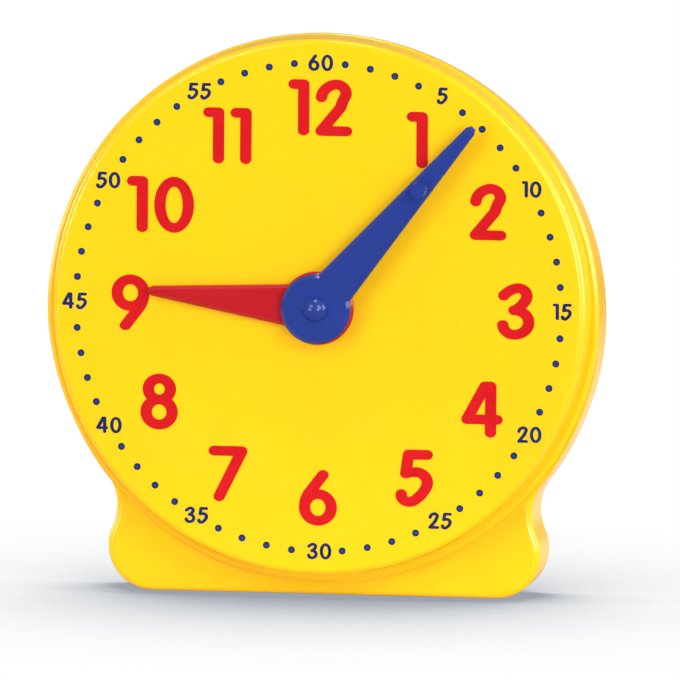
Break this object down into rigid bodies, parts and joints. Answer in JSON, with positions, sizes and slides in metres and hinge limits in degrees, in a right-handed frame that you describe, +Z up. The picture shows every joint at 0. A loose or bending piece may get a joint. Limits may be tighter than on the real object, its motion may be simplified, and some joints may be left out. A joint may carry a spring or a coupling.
{
  "type": "geared teaching clock",
  "caption": "Student demonstration clock on a moulded foot: a printed dial, two hands and a hidden gear train that keeps the hour hand in step with the minute hand.",
  "frame": {"origin": "centre of the flat face that the foot rests on", "axes": "+Z up, the dial faces -Y, +X to the right of someone facing the dial; both hands turn about an axis parallel to Y"},
  "size_m": [0.126, 0.0323, 0.1277],
  "materials": {
    "front_shell": "polished yellow polystyrene",
    "rear_cover": "satin yellow polystyrene",
    "cover_screws": "zinc plated",
    "gear_bridge": "natural acetal",
    "bridge_screws": "zinc plated",
    "dial_bush": "turned",
    "bridge_bush": "turned",
    "thrust_washer": "natural nylon",
    "stud_washer": "natural nylon",
    "friction_spring": "spring steel",
    "minute_arbor": "ground",
    "arbor_clip": "spring steel",
    "cannon_pinion": "natural acetal",
    "intermediate_gear": "natural acetal",
    "intermediate_stud": "ground",
    "hour_wheel": "natural acetal",
    "hour_hand": "polished red polystyrene",
    "minute_hand": "polished blue polystyrene",
    "centre_cap": "polished blue polystyrene",
    "hour_numerals": "red pad-printing ink",
    "minute_numerals": "navy pad-printing ink",
    "minute_dots": "navy pad-printing ink"
  },
  "bodies": {
    "casing": {"front_shell": "front_shell", "rear_cover": "rear_cover", "cover_screws": "cover_screws", "gear_bridge": "gear_bridge", "bridge_screws": "bridge_screws", "dial_bush": "dial_bush", "bridge_bush": "bridge_bush", "thrust_washer": "thrust_washer", "stud_washer": "stud_washer", "friction_spring": "friction_spring", "intermediate_stud": "intermediate_stud", "hour_numerals": "hour_numerals", "minute_numerals": "minute_numerals", "minute_dots": "minute_dots"},
    "minute": {"minute_hand": "minute_hand", "centre_cap": "centre_cap", "minute_arbor": "minute_arbor", "cannon_pinion": "cannon_pinion", "arbor_clip": "arbor_clip"},
    "intermediate": {"intermediate_gear": "intermediate_gear"},
    "hour": {"hour_wheel": "hour_wheel", "hour_hand": "hour_hand"}
  },
  "joints": [
    {"name": "minute_turn", "type": "hinge", "parent": "casing", "child": "minute", "pos_m": [0, -0.017, 0.0663], "axis": [0, 1, 0], "continuous": true},
    {"name": "intermediate_turn", "type": "hinge", "parent": "casing", "child": "intermediate", "pos_m": [0, -0.01, 0.04524], "axis": [0, 1, 0], "continuous": true},
    {"name": "hour_turn", "type": "hinge", "parent": "casing", "child": "hour", "pos_m": [0, -0.017, 0.0663], "axis": [0, 1, 0], "continuous": true}
  ],
  "couplings": [
    {"joint": "intermediate_turn", "follows": "minute_turn", "ratio": -0.33333},
    {"joint": "hour_turn", "follows": "minute_turn", "ratio": 0.083333}
  ]
}
